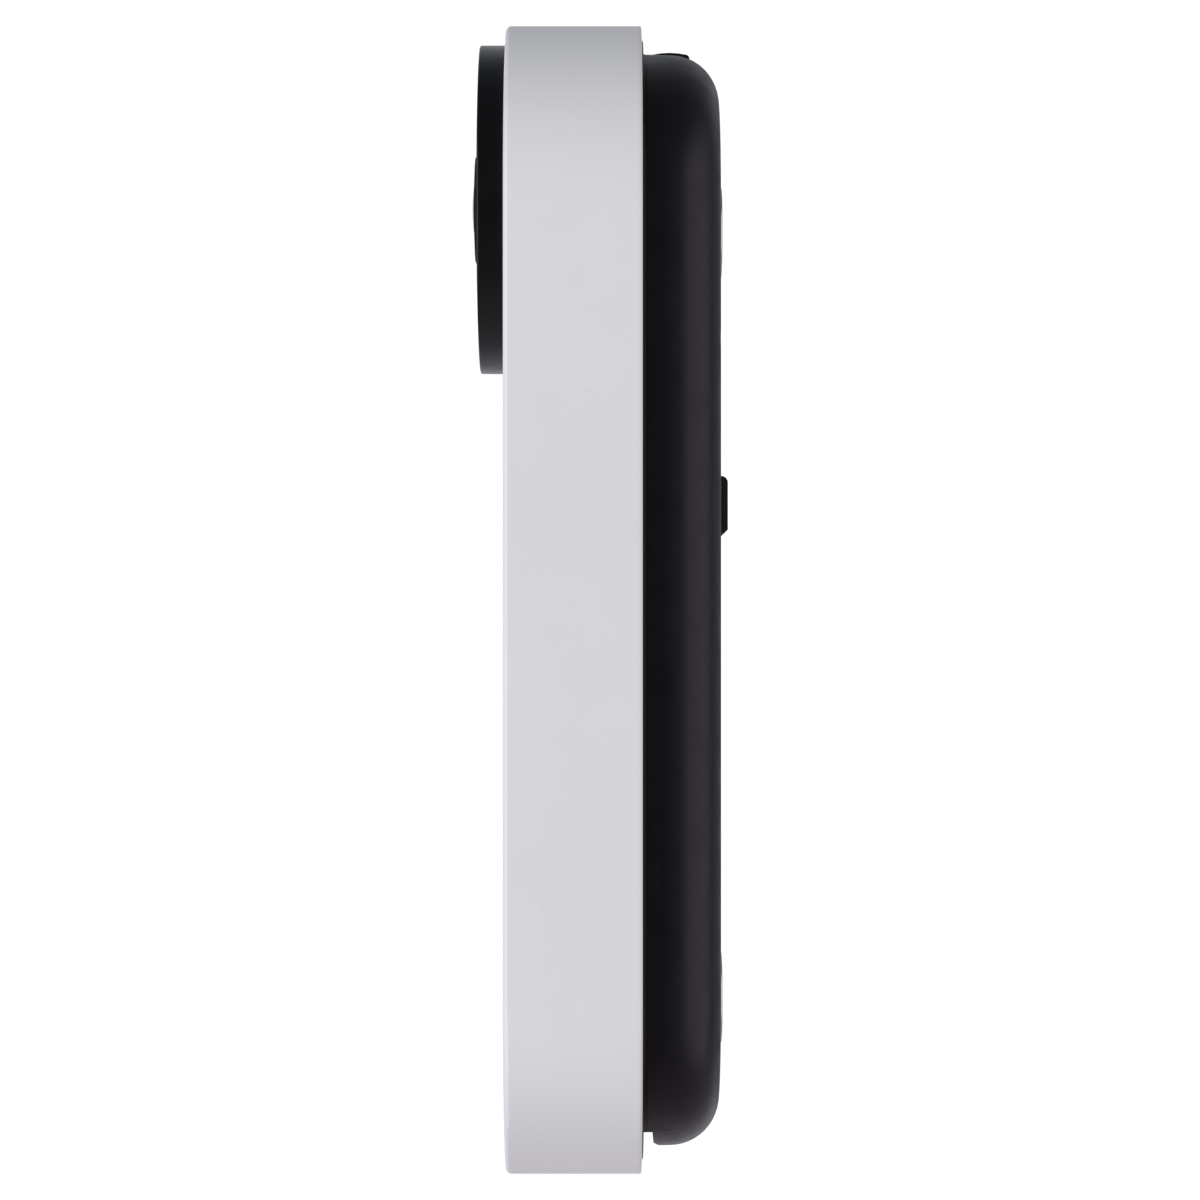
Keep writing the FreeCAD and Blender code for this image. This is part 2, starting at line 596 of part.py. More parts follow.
# ---- push button ----
def light_ring():
    """The translucent ring round the button, with a skirt that takes light from the board's lamps."""
    skirt_inner, collar, collar_thick, edge, lamp_gap = 12.05, 13.9, 0.8, 0.15, 1.0
    body = soften(tube(LIGHT_OUTER, LIGHT_INNER, Y_LIGHT, Y_LIGHT_BACK, 0, Z_BUTTON), edge, Y_LIGHT)
    skirt_end = Y_BUTTON_BOARD_FRONT - lamp_gap
    body = body.fuse(tube(LIGHT_OUTER, skirt_inner, Y_LIGHT_BACK - 0.5, skirt_end, 0, Z_BUTTON))
    body = body.fuse(tube(collar, LIGHT_OUTER - 0.5, Y_INSIDE, Y_INSIDE + collar_thick, 0, Z_BUTTON))
    return body.removeSplitter()


def button_cap():
    """The round button, dished for a fingertip, with a retaining flange and a centre plunger."""
    dish_depth, dish_radius, edge, flange, plunger = 0.5, 9.4, 0.3, 11.8, 2.0
    rim, skin, overlap = 1.4, 2.2, 0.6
    body = soften(disc(CAP_RADIUS, Y_CAP, Y_CAP_BACK, 0, Z_BUTTON), edge, Y_CAP)
    sphere = (dish_radius**2 + dish_depth**2) / (2 * dish_depth)
    body = body.cut(Part.makeSphere(sphere, V(0, Y_CAP + dish_depth - sphere, Z_BUTTON)))
    body = body.fuse(disc(flange, Y_LIGHT_BACK + GAP, Y_CAP_BACK, 0, Z_BUTTON))
    body = body.cut(disc(CAP_RADIUS - rim, Y_CAP + skin, Y_CAP_BACK + 1, 0, Z_BUTTON))
    body = body.fuse(disc(plunger, Y_CAP + skin - overlap, Y_STEM - GAP, 0, Z_BUTTON))
    return body.removeSplitter()


def button_seal():
    """The silicone membrane behind the cap, with a raised lip."""
    outer, hole, lip, y_front, y_back = 11.7, 2.6, 10.9, -21.7, -21.1
    body = tube(outer, hole, y_front, y_back, 0, Z_BUTTON)
    return body.fuse(tube(outer, lip, y_front, Y_BUTTON_BOARD_FRONT, 0, Z_BUTTON)).removeSplitter()


def button_switch():
    """The tact switch under the cap: a square case with a well for its stem."""
    width, bevel, well, floor = 6.0, 0.4, 1.7, 0.7
    body = pad(width, width, Y_SWITCH, Y_BUTTON_BOARD_FRONT, 0, Z_BUTTON)
    body = body.makeChamfer(bevel, side_edges(body))
    return body.cut(disc(well, Y_SWITCH - 1, Y_BUTTON_BOARD_FRONT - floor, 0, Z_BUTTON))


def switch_stem():
    """The switch's round stem, which the cap's plunger presses."""
    radius, sunk = 1.6, 0.5
    return disc(radius, Y_STEM, Y_SWITCH + sunk, 0, Z_BUTTON)


def button_board():
    """A round board on the three casing bosses."""
    radius, through = 18.2, 1.1
    body = disc(radius, Y_BUTTON_BOARD_FRONT, Y_BUTTON_BOARD, 0, Z_BUTTON)
    return cut_all(body, holes(through, Y_BUTTON_BOARD_FRONT - 1, Y_BUTTON_BOARD + 1, button_bosses()))


def ring_leds():
    """Eight small lamps under the light ring's skirt."""
    count, circle, width, height = 8, 12.45, 0.9, 0.6
    places = [on_circle(circle, 360 / count * (i + 0.5), Z_BUTTON) for i in range(count)]
    return chips([(x, z, width, width, height) for x, z in places], Y_BUTTON_BOARD_FRONT, -1)


# ---- sound ----
def speaker_outline(inset, y0, y1):
    """A slot that follows the speaker's outline, a constant distance inside it."""
    return slot(2 * (SPEAKER_HALF_X - inset), 2 * (SPEAKER_HALF_Z - inset), y0, y1, 0, Z_SPEAKER)


def speaker_frame():
    """The speaker's basket, an oval dish."""
    wall, floor = 1.2, 0.8
    body = speaker_outline(0, Y_SPEAKER, Y_SPEAKER + SPEAKER_DEPTH)
    return body.cut(speaker_outline(wall, Y_SPEAKER - 1, Y_SPEAKER + SPEAKER_DEPTH - floor))


def speaker_cone():
    """The diaphragm: a flat surround with a shallow raised centre."""
    surround = speaker_outline(1.25, Y_SPEAKER + 0.9, Y_SPEAKER + 1.2)
    centre = speaker_outline(4.5, Y_SPEAKER + 0.5, Y_SPEAKER + 1.0)
    return surround.fuse(centre).removeSplitter()


def speaker_magnet():
    """The oval magnet behind the basket."""
    length, width, thick = 18.0, 11.0, 1.8
    return slot(length, width, Y_SPEAKER + SPEAKER_DEPTH, Y_SPEAKER + SPEAKER_DEPTH + thick, 0, Z_SPEAKER)


def speaker_gasket():
    """The foam frame between the speaker and the grille."""
    width = 1.6
    return speaker_outline(0, Y_INSIDE, Y_SPEAKER).cut(speaker_outline(width, Y_INSIDE - 1, Y_SPEAKER + 1))


def speaker_leads():
    """Two short wires from the speaker frame to the main board."""
    radius, bend, spacing = 0.35, 0.7, 4.0
    x_frame, x_out, x_end = SPEAKER_HALF_X, SPEAKER_HALF_X + 1.6, SPEAKER_HALF_X - 0.3
    wires = []
    for side in (-1, 1):
        z = Z_SPEAKER - spacing / 2 * side
        route = [(x_frame, -21.5, z), (x_out, -21.5, z), (x_out, -18.6, z - 0.5), (x_end, -17.7, z - 1.0)]
        wires.append(cable(route, radius, bend))
    return wires


MIC_THICK = 1.1


def microphone():
    """The microphone package on the front of the main board."""
    return pad(3.5, 2.7, Y_MAIN_FRONT - MIC_THICK, Y_MAIN_FRONT, 0, Z_MIC)


def mic_boot():
    """The rubber tube from the front wall's pinhole to the microphone."""
    outer, inner = 2.2, 0.7
    return tube(outer, inner, Y_INSIDE, Y_MAIN_FRONT - MIC_THICK, 0, Z_MIC)


# ---- chassis and boards ----
def chassis():
    """The plastic plate that holds the battery, the main board and the connector board."""
    half_width, z_low, z_high, corner = 18.4, -52.0, 35.8, 4.0
    shell_boss, board_boss, boss_depth = 2.4, 1.8, 3.6
    blind, pilot_depth = 0.3, 3.0
    plate = block(-half_width, half_width, Y_CHASSIS_FRONT, Y_CHASSIS, z_low, z_high)
    bosses = holes(shell_boss, Y_CHASSIS_FRONT - boss_depth, Y_FLANGE_FRONT, SHELL_SCREWS)
    bosses += holes(board_boss, Y_MAIN, Y_CHASSIS_FRONT, MAIN_SCREWS)
    bosses += holes(board_boss, Y_CHASSIS, Y_IO, IO_SCREWS + IO_RESTS)
    body = round_corners(plate, corner).multiFuse(bosses)
    cuts = holes(PILOT + GAP, Y_CHASSIS_FRONT - pilot_depth, Y_FLANGE_FRONT + 1, SHELL_SCREWS)
    cuts += holes(SMALL_PILOT, Y_MAIN - 1, Y_CHASSIS - blind, MAIN_SCREWS)
    cuts += holes(SMALL_PILOT, Y_CHASSIS_FRONT + blind, Y_IO + 1, IO_SCREWS)
    cuts += holes(1.2, Y_CHASSIS_FRONT - 1, Y_CHASSIS + 1, chassis_bosses())
    wire_slot = slot(14.0, 4.0, Y_CHASSIS_FRONT - 1, Y_CHASSIS + 1, 0, 14.0)
    return cut_all(body, cuts + [wire_slot])


def main_board():
    """The processor board on the front of the chassis."""
    half_width, z_low, z_high, corner, through = 14.2, -27.0, 25.0, 1.5, 1.0
    body = block(-half_width, half_width, Y_MAIN_FRONT, Y_MAIN, z_low, z_high)
    return cut_all(round_corners(body, corner), holes(through, Y_MAIN_FRONT - 1, Y_MAIN + 1, MAIN_SCREWS))


def shield_can():
    """A folded metal lid over the processor, open underneath."""
    width, length, height, skin, fold, x, z = 18.0, 16.0, 2.2, 0.2, 0.4, -1.5, 8.5
    y_top = Y_MAIN_FRONT - height
    body = pad(width, length, y_top, Y_MAIN_FRONT, x, z)
    body = body.makeFillet(fold, edges_at(body, y_top))
    return body.cut(pad(width - 2 * skin, length - 2 * skin, y_top + skin, Y_MAIN_FRONT + 1, x, z))


def board_components():
    """Chips, coils and connectors: processor under the shield, the rest beside it and behind the board."""
    processor, memory = (-4.0, 9.0, 11.0, 11.0, 1.1), (4.0, 5.0, 3.5, 5.0, 1.0)
    coil, regulator = (11.0, 12.0, 3.0, 4.0, 1.6), (11.0, 6.0, 3.0, 2.0, 0.8)
    crystal = (11.2, 2.0, 2.0, 1.2, 0.7)
    filters = [(-12.5, z, 1.6, 3.2, 0.8) for z in (10.0, 4.0)]
    connectors = [(x, 21.5, 4.0, 3.0, 1.2) for x in (7.0, -7.0)]
    ribbon_sockets = [(0.0, 18.0, 9.0, 2.2, 1.0), (7.0, -20.5, 6.0, 2.2, 1.0)]
    power = [(-6.0, 6.0, 6.0, 6.0, 0.9), (5.0, 4.0, 4.0, 4.0, 1.3), (-6.0, -6.0, 5.0, 4.0, 1.0),
             (6.0, -7.0, 3.0, 5.0, 1.0)]
    front = [processor, memory, coil, regulator, crystal] + filters + connectors
    return chips(front, Y_MAIN_FRONT, -1) + chips(ribbon_sockets + power, Y_MAIN, 1)


def wifi_antenna():
    """A flexible antenna on the casing's side wall, and its coaxial lead."""
    x_wall = -(WIDTH / 2 - CASING_RIB)
    x_lead, half_height, thick, glue = x_wall + 0.8, 17.0, 0.2, 0.02
    patch = block(x_wall + glue, x_wall + glue + thick, -22.0, -14.6, -half_height, half_height)
    lead = cable([(x_lead, -18.3, -6.0), (x_lead, -18.3, 1.0), (-12.9, -17.9, 1.0)], 0.45, 1.2)
    return [patch, lead]


def io_board():
    """The connector board behind the chassis, which carries the charging port and the setup switch."""
    half_width, z_low, z_high, corner, through = 13.0, 3.5, 27.0, 1.2, 1.0
    body = round_corners(block(-half_width, half_width, Y_IO, Y_IO_REAR, z_low, z_high), corner)
    body = cut_all(body, holes(through, Y_IO - 1, Y_IO_REAR + 1, IO_SCREWS))
    socket, fuse = (8.6, 20.0, 4.0, 3.0, 2.4), (-9.0, 18.0, 3.0, 3.0, 1.5)
    charger, diode = (0.0, 21.5, 6.0, 4.0, 1.2), (-10.5, 9.5, 2.0, 3.0, 1.0)
    return [body] + chips([socket, fuse, charger, diode], Y_IO_REAR, 1)


def charging_port():
    """An upright USB socket: an oval metal sleeve with a tongue."""
    width, height, skin, y_mouth = 8.94, 3.16, 0.3, -1.75
    tongue_width, tongue_thick = 6.6, 0.7
    sleeve = slot(width, height, Y_IO_REAR, y_mouth, X_PORT, Z_PORT)
    hollow = slot(width - 2 * skin, height - 2 * skin, Y_IO_REAR + 0.8, y_mouth + 1, X_PORT, Z_PORT)
    tongue = pad(tongue_width, tongue_thick, Y_IO_REAR + 0.5, y_mouth - 0.5, X_PORT, Z_PORT)
    return sleeve.cut(hollow).fuse(tongue).removeSplitter()


def setup_button():
    """The small plunger beside the port, under the cover, with a retaining collar."""
    radius, y_tip, y_end, edge = 1.4, -1.35, -6.6, 0.25
    collar, collar_y0, collar_y1 = 2.1, -3.0, -2.0
    body = soften(disc(radius, y_end, y_tip, X_SETUP, Z_PORT), edge, y_tip)
    return body.fuse(disc(collar, collar_y0, collar_y1, X_SETUP, Z_PORT)).removeSplitter()


def setup_switch():
    """A low tact switch case with a well for the plunger."""
    width, y_top, well, y_floor = 4.4, -6.2, 1.55, -7.4
    body = pad(width, width, Y_IO_REAR, y_top, X_SETUP, Z_PORT)
    return body.cut(disc(well, y_floor, y_top + 1, X_SETUP, Z_PORT))


# ---- power ----
def battery_pack():
    """A soft lithium pack with rounded long edges and a folded terminal end."""
    y0, y1 = Y_BATTERY
    z0, z1 = Z_BATTERY
    edge, fold, half_end = 3.2, 2.0, 11.0
    body = block(-BATTERY_HALF_X, BATTERY_HALF_X, y0, y1, z0, z1 - fold)
    long_edges = [e for e in body.Edges if e.BoundBox.ZLength > (z1 - z0) / 2]
    end = block(-half_end, half_end, y0 + 2.0, y1 - 2.4, z1 - fold - 1, z1)
    return body.makeFillet(edge, long_edges).fuse(end).removeSplitter()


def battery_pads():
    """A foam pad behind the pack and an adhesive sheet on its front."""
    y0, y1 = Y_BATTERY
    z0, z1 = Z_BATTERY[0] + 3.0, Z_BATTERY[1] - 5.0
    foam_half, sheet_half = 11.0, 11.5
    foam = block(-foam_half, foam_half, y1, Y_BOWL, z0, z1)
    sheet = block(-sheet_half, sheet_half, Y_CHASSIS, y0, z0, z1)
    return [foam, sheet]


def battery_lead():
    """Two wires from the pack to a plug on the connector board."""
    x_plug, y_plug, z_plug, spacing = 7.8, -5.8, 20.0, 1.8
    plug = pad(4.8, 3.6, y_plug, y_plug + 2.0, x_plug, z_plug)
    wires = []
    for side in (-1, 1):
        x = x_plug + spacing / 2 * side
        x_round = x + 3.9           # passes the setup switch on its outer side
        route = [(x, -6.6, Z_BATTERY[1]), (x, -6.6, 6.0), (x_round, -4.9, 9.0), (x_round, -4.9, 13.0),
                 (x, -4.7, 16.2), (x, -4.7, z_plug - 1.8)]
        wires.append(cable(route, 0.4, 1.0))
    return [plug] + wires


def contact(z):
    """A flat round metal contact on the back, with a stud through the wall."""
    radius, proud, edge, y_stud = 5.6, 0.4, 0.2, -5.0
    body = soften(disc(radius, Y_CONTACT_SEAT, proud, 0, z), edge, proud)
    return body.fuse(disc(STUD_RADIUS, y_stud, Y_CONTACT_SEAT, 0, z)).removeSplitter()


def contact_nuts():
    """Hexagon nuts inside the shell."""
    corner_radius, y_front, y_rear = 3.0, -3.7, -2.1
    made = []
    for z in Z_CONTACTS:
        corners = [on_circle(corner_radius, 60 * i, z) for i in range(7)]
        hexagon = Part.Face(Part.makePolygon([V(x, y_front, z_corner) for x, z_corner in corners]))
        nut = hexagon.extrude(V(0, y_rear - y_front, 0))
        made.append(nut.cut(disc(STUD_RADIUS + GAP, y_front - 1, y_rear + 1, 0, z)))
    return made


def contact_lugs():
    """Ring terminals under the nuts, each with a tail for its wire."""
    radius, thick, width, tail_start, tail_end = 3.0, 0.5, 2.2, 2.5, 6.2
    made = []
    for z, side in zip(Z_CONTACTS, (-1, 1)):
        ring = tube(radius, STUD_RADIUS + GAP, Y_BOWL - thick, Y_BOWL, 0, z)
        z0, z1 = sorted((z + side * tail_start, z + side * tail_end))
        tail = block(-width / 2, width / 2, Y_BOWL - thick, Y_BOWL, z0, z1)
        made.append(ring.fuse(tail).removeSplitter())
    return made


def contact_leads():
    """Wires from the two ring terminals to the connector board."""
    radius, y_lug, reach = 0.45, -2.6, 5.6
    top, bottom = Z_CONTACTS[0] - reach, Z_CONTACTS[1] + reach
    upper = [(0, y_lug, top), (0, y_lug, 36.0), (3.5, -6.5, 30.0), (3.5, -7.7, 25.0)]
    lower = [(0, y_lug, bottom), (1.5, -4.6, -42.2), (7.5, -7.0, -41.9), (15.6, -8.2, -41.7),
             (16.3, -8.6, -36.0), (16.3, -8.6, -4.0), (14.6, -7.6, 4.0), (12.2, -7.6, 7.5)]
    return [cable(upper, radius, 1.2), cable(lower, radius, 1.0)]


# ---- port cover ----
def port_cover():
    """The rubber door over the port: a thick flap with a rounded upper end that turns in the recess."""
    y0, y1 = DOOR_HINGE_Y - DOOR_HALF_THICK, DOOR_HINGE_Y + DOOR_HALF_THICK
    z_low, bevel, corner, length = Z_PORT - 3.65, 0.75, 1.2, 2 * DOOR_HALF_X
    lower_edge = [(y0, z_low), (y1 - bevel, z_low), (y1, z_low + bevel)]
    outline = [(y0, DOOR_HINGE_Z)] + lower_edge + [(y1, DOOR_HINGE_Z)]
    body = round_corners(prism(outline, -DOOR_HALF_X, DOOR_HALF_X), corner, z_high=DOOR_HINGE_Z)
    axis_start = V(-DOOR_HALF_X, DOOR_HINGE_Y, DOOR_HINGE_Z)
    knuckle = Part.makeCylinder(DOOR_HALF_THICK, length, axis_start, V(1, 0, 0))
    plug = slot(8.2, 2.7, y0 - 0.7, y0 + BITE, X_PORT, Z_PORT)
    return body.multiFuse([knuckle, plug]).removeSplitter()


def cover_anchor():
    """The fixed foot of the cover's rubber strap, wedged in the end of the recess."""
    half_width, sunk, corner = 9.45, 0.05, 0.75
    z_foot = DOOR_HINGE_Z + DOOR_HALF_THICK + 0.1
    return round_corners(block(-half_width, half_width, Y_RECESS, -sunk, z_foot, DOOR_RECESS_TOP), corner)


# ---- fasteners and flexible circuits ----
def ring_screws():
    return [screw(x, z, Y_INSIDE + BRACKET_THICK, 4.0) for x, z in ring_bosses()]


def sensor_screws():
    return [screw(x, z, Y_SENSOR, 4.4, shank=0.7, head=1.4, head_height=0.9) for x, z in sensor_posts()]


def button_board_screws():
    return [screw(x, z, Y_BUTTON_BOARD, 4.6) for x, z in button_bosses()]


def main_board_screws():
    return [screw(x, z, Y_MAIN_FRONT, 4.0, shank=0.75, head=1.5, head_height=0.9, head_behind=False)
            for x, z in MAIN_SCREWS]


def io_board_screws():
    return [screw(x, z, Y_IO_REAR, 5.0, shank=0.75, head=1.5, head_height=0.9) for x, z in IO_SCREWS]


def chassis_screws():
    return [screw(x, z, Y_CHASSIS, 6.5, head=1.8, head_height=1.0) for x, z in chassis_bosses()]


def shell_screws():
    return [screw(x, z, Y_SCREW_WELL, 8.5, shank=1.0, head=2.0, head_height=1.4) for x, z in SHELL_SCREWS]


def camera_flex():
    """The ribbon from the sensor board to the main board."""
    y_start, y_end, half_width = Y_SENSOR + 0.1, Y_MAIN + 0.1, 4.0
    return ribbon([(y_start, 41.0), (y_start, 34.0), (y_end, 27.5), (y_end, 19.2)], -half_width, half_width)


def button_flex():
    """The ribbon from the button board to the main board."""
    y_start, y_end, x0, x1 = Y_BUTTON_BOARD + 0.1, Y_MAIN + 0.1, 4.0, 9.4
    return ribbon([(y_start, -37.0), (y_start, -31.5), (y_end, -28.2), (y_end, -21.7)], x0, x1)


def main():
    os.makedirs(PARTS, exist_ok=True)
    single = [
        front_casing, rear_shell, shell_gasket, camera_ring, camera_ring_seal, camera_cover, lens_bezel,
        lens_dome, lens_baffle, ir_led_board, camera_bracket, lens_holder, lens_barrel, image_sensor,
        sensor_board, light_ring, button_cap, button_seal, button_switch, switch_stem, button_board,
        speaker_frame, speaker_cone, speaker_magnet, speaker_gasket, microphone, mic_boot, chassis,
        main_board, shield_can, charging_port, setup_button, setup_switch, battery_pack, port_cover,
        cover_anchor, camera_flex, button_flex,
    ]
    groups = [
        ir_leds, lens_elements, ring_leds, board_components, wifi_antenna, io_board, battery_pads,
        battery_lead, contact_nuts, contact_lugs, contact_leads, speaker_leads, ring_screws, sensor_screws,
        button_board_screws, main_board_screws, io_board_screws, chassis_screws, shell_screws,
    ]
    for make in single:
        save(make.__name__, make())
    for make in groups:
        save(make.__name__, *make())
    for name, z in zip(("upper_contact", "lower_contact"), Z_CONTACTS):
        save(name, contact(z))


main()
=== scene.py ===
"""Looks for the video doorbell: materials, studio light and the camera.

Everything is in metres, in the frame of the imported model: +Z up, -Y towards the visitor.
"""
import json
import math

import bmesh
import bpy
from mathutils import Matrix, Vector


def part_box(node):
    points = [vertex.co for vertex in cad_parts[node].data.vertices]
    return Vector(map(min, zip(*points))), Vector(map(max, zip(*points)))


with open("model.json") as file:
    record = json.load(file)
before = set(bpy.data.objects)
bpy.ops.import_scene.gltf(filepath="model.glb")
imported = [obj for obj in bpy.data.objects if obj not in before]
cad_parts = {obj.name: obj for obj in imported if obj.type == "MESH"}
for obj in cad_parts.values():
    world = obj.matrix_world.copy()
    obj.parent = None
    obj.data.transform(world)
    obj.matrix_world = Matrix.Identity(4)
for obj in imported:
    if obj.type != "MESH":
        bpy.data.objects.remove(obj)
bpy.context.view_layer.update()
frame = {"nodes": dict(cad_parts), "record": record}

# ---- places along Y where a surface changes ----
CASING_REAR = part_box("front_casing")[1].y
SHELL_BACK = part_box("rear_shell")[1].y
SHADED_LIP_FROM, SHADED_LIP_TO = CASING_REAR - 0.0006, CASING_REAR - 0.0001           # the casing's rear lip, where shade is painted
LIT_CORNER_FROM, LIT_CORNER_TO = CASING_REAR + 0.0008, CASING_REAR + 0.0004     # shell beside its flange, where warm light is painted
EDGE_FROM, EDGE_TO = SHELL_BACK - 0.0008, SHELL_BACK - 0.0003           # end of the shell's rear round

# ---- camera and studio ----
CAMERA_AT = Vector((0.538, -0.01456, 0.0))
CAMERA_LENS = 131.0
FLOOR_Z = -0.12
FLOOR_RADIUS = 0.33
FLOOR_SOLID = 0.06          # the floor is opaque to this radius, and fades from there
FLOOR_FADED = 0.97          # part of its radius where it has faded out
SURROUND_RADIUS = 6.0
SURROUND_GAP = 0.001        # white ground under the floor
LIGHT_AIM = (0, -0.015, 0)
# soft boxes: name, place, width and height, power in watts
SOFT_BOXES = (
    ("soft_left", (0.60, -0.75, 0.0), (0.5, 1.5), 10.7),
    ("soft_right", (0.44, 0.87, 0.0), (1.3, 1.6), 9.0),
)
# the room's light: an even part, and a soft lobe at each angle up from the camera's side, in degrees
WORLD_EVEN = 0.123
WORLD_LOBES = ((180, 0.37), (145, 0.09), (-145, 0.05), (-110, 0.28))
LOBE_EDGE = 0.2             # cosine of the angle from a lobe's middle where it ends
COLOR_BELOW = (1.09, 1.0, 1.09, 1.0)
COLOR_ABOVE = (0.915, 1.0, 1.07, 1.0)

RANGE_SOCKETS = ("From Min", "From Max", "To Min", "To Max")
# a Mix node's colour sockets, which share their names with its number sockets
MIX_FACTOR, MIX_A, MIX_B, MIX_RESULT = 0, 6, 7, 2
NOISE_SPAN = (0.3, 0.7)     # where most of a noise's values lie


# ---------------------------------------------------------------- materials
class Paint:
    """A node material under construction. Its texture space is the row frame, in metres."""

    def __init__(self, name, color, roughness, **sockets):
        self.mat = bpy.data.materials.new(name)
        self.mat.use_nodes = True
        self.tree = self.mat.node_tree
        self.shader = self.tree.nodes["Principled BSDF"]
        self.color = color
        self.shader.inputs["Base Color"].default_value = (*color, 1.0)
        self.shader.inputs["Roughness"].default_value = roughness
        for socket, value in sockets.items():
            self.shader.inputs[socket.replace("_", " ")].default_value = value
        self.coord = self.add("ShaderNodeTexCoord")
        self.normal = None

    def add(self, kind, **settings):
        node = self.tree.nodes.new(kind)
        for name, value in settings.items():
            setattr(node, name, value)
        return node

    def link(self, start, end):
        self.tree.links.new(start, end)

    def noise(self, size, detail=3.0, stretch=(1, 1, 1), contrast=None):
        """Noise with features about size metres across. Returns its output socket, from 0 to 1."""
        mapping = self.add("ShaderNodeMapping")
        mapping.inputs["Scale"].default_value = stretch
        self.link(self.coord.outputs["Object"], mapping.inputs["Vector"])
        tex = self.add("ShaderNodeTexNoise")
        tex.inputs["Scale"].default_value = 1.0 / size
        tex.inputs["Detail"].default_value = detail
        self.link(mapping.outputs["Vector"], tex.inputs["Vector"])
        if contrast is None:
            return tex.outputs["Fac"]
        return self.ranged(tex.outputs["Fac"], contrast[0], contrast[1], 0.0, 1.0)

    def ranged(self, source, low, high, to_low, to_high):
        node = self.add("ShaderNodeMapRange")
        for socket, value in zip(RANGE_SOCKETS, (low, high, to_low, to_high)):
            node.inputs[socket].default_value = value
        self.link(source, node.inputs["Value"])
        return node.outputs["Result"]

    def tint(self, mask, color):
        """Mixes another colour in where mask is 1."""
        mix = self.add("ShaderNodeMix", data_type="RGBA")
        into = mix.inputs[MIX_A]
        base = self.shader.inputs["Base Color"]
        if base.is_linked:
            self.link(base.links[0].from_socket, into)
        else:
            into.default_value = (*self.color, 1.0)
        mix.inputs[MIX_B].default_value = (*color, 1.0)
        self.link(mask, mix.inputs[MIX_FACTOR])
        self.link(mix.outputs[MIX_RESULT], base)

    def rough(self, source, low, high):
        self.link(self.ranged(source, *NOISE_SPAN, low, high), self.shader.inputs["Roughness"])

    def bump(self, source, depth, strength=1.0):
        """Adds relief of that depth in metres."""
        node = self.add("ShaderNodeBump")
        node.inputs["Distance"].default_value = depth
        node.inputs["Strength"].default_value = strength
        self.link(source, node.inputs["Height"])
        if self.normal is not None:
            self.link(self.normal, node.inputs["Normal"])
        self.normal = node.outputs["Normal"]
        self.link(self.normal, self.shader.inputs["Normal"])

    def along(self, axis, low, high):
        """A mask that rises from 0 to 1 between two places along an axis of the row frame."""
        split = self.add("ShaderNodeSeparateXYZ")
        self.link(self.coord.outputs["Object"], split.inputs["Vector"])
        return self.ranged(split.outputs[axis], low, high, 0.0, 1.0)


def moulded(name, color, roughness, grain=0.00018, depth=0.000008, spread=0.06, shade=0.9, **sockets):
    """Moulded plastic or rubber: a fine spark-eroded grain, slow changes of tone and of gloss."""
    paint = Paint(name, color, roughness, **sockets)
    slow = paint.noise(0.022, 2.0, contrast=(0.35, 0.7))
    paint.tint(slow, tuple(c * shade for c in color))
    paint.rough(paint.noise(0.004, 4.0), roughness - spread, roughness + spread)
    paint.bump(paint.noise(grain, 2.0), depth)
    return paint


def plain(name, color, roughness, **details):
    """A moulded material with nothing added to it."""
    return moulded(name, color, roughness, **details).mat


def casing_white():
    """White plastic with painted shade at its rear lip, which is a little darker and warmer, and a few faint
    specks.
    """
    paint = moulded("casing_white", (0.735, 0.735, 0.765), 0.42, grain=0.00022, depth=0.000006, shade=0.985)
    rear = paint.along("Y", SHADED_LIP_FROM, SHADED_LIP_TO)
    # painted shade: the rear lip is tinted darker and warmer
    paint.tint(rear, (0.70, 0.665, 0.645))
    specks = paint.noise(0.0011, 1.0, contrast=(0.80, 0.84))
    paint.tint(specks, (0.70, 0.69, 0.69))
    return paint.mat


def shell_black():
    """Matte black with painted warm light in the corner beside the flange, duller there and at the rear
    edge, with faint scratches.
    """
    paint = moulded("shell_black", (0.0057, 0.0051, 0.0073), 0.40, grain=0.00016, depth=0.000008,
                    shade=0.92, Specular_Tint=(0.96, 0.87, 1.0, 1.0))
    corner = paint.along("Y", LIT_CORNER_FROM, LIT_CORNER_TO)
    # painted light: the corner beside the flange is tinted lighter and warmer
    paint.tint(corner, (0.008, 0.0058, 0.0052))
    rear = paint.along("Y", EDGE_FROM, EDGE_TO)
    level = paint.add("ShaderNodeMath", operation="MINIMUM")
    paint.link(paint.ranged(corner, 0.0, 1.0, 0.27, 0.10), level.inputs[0])
    paint.link(paint.ranged(rear, 0.0, 1.0, 0.27, 0.08), level.inputs[1])
    paint.link(level.outputs["Value"], paint.shader.inputs["Specular IOR Level"])
    scratch = paint.noise(0.0006, 2.0, stretch=(1, 0.9, 0.03), contrast=(0.72, 0.79))
    paint.tint(scratch, (0.010, 0.0095, 0.012))
    return paint.mat


def ring_black():
    return plain("ring_black", (0.003, 0.003, 0.0036), 0.30, grain=0.00014, depth=0.000005,
                 Specular_IOR_Level=0.25)


def cover_black():
    paint = Paint("cover_black", (0.002, 0.002, 0.003), 0.06)
    paint.tint(paint.noise(0.012, 2.0, contrast=(0.4, 0.7)), (0.006, 0.0045, 0.006))
    paint.rough(paint.noise(0.003, 5.0), 0.05, 0.10)
    return paint.mat


def glassy(name, color, ior=1.5):
    paint = Paint(name, color, 0.02, Transmission_Weight=1.0, IOR=ior, Coat_Weight=0.6, Coat_Roughness=0.02)
    paint.rough(paint.noise(0.002, 3.0), 0.01, 0.035)
    return paint.mat


def metal(name, color, roughness):
    """Worked metal with fine level lines."""
    paint = Paint(name, color, roughness, Metallic=1.0)
    lines = paint.noise(0.0004, 3.0, stretch=(1, 1, 14))
    paint.rough(lines, roughness - 0.08, roughness + 0.1)
    paint.bump(lines, 0.000002)
    paint.tint(paint.noise(0.003, 3.0, contrast=(0.45, 0.75)), tuple(c * 0.94 for c in color))
    return paint.mat


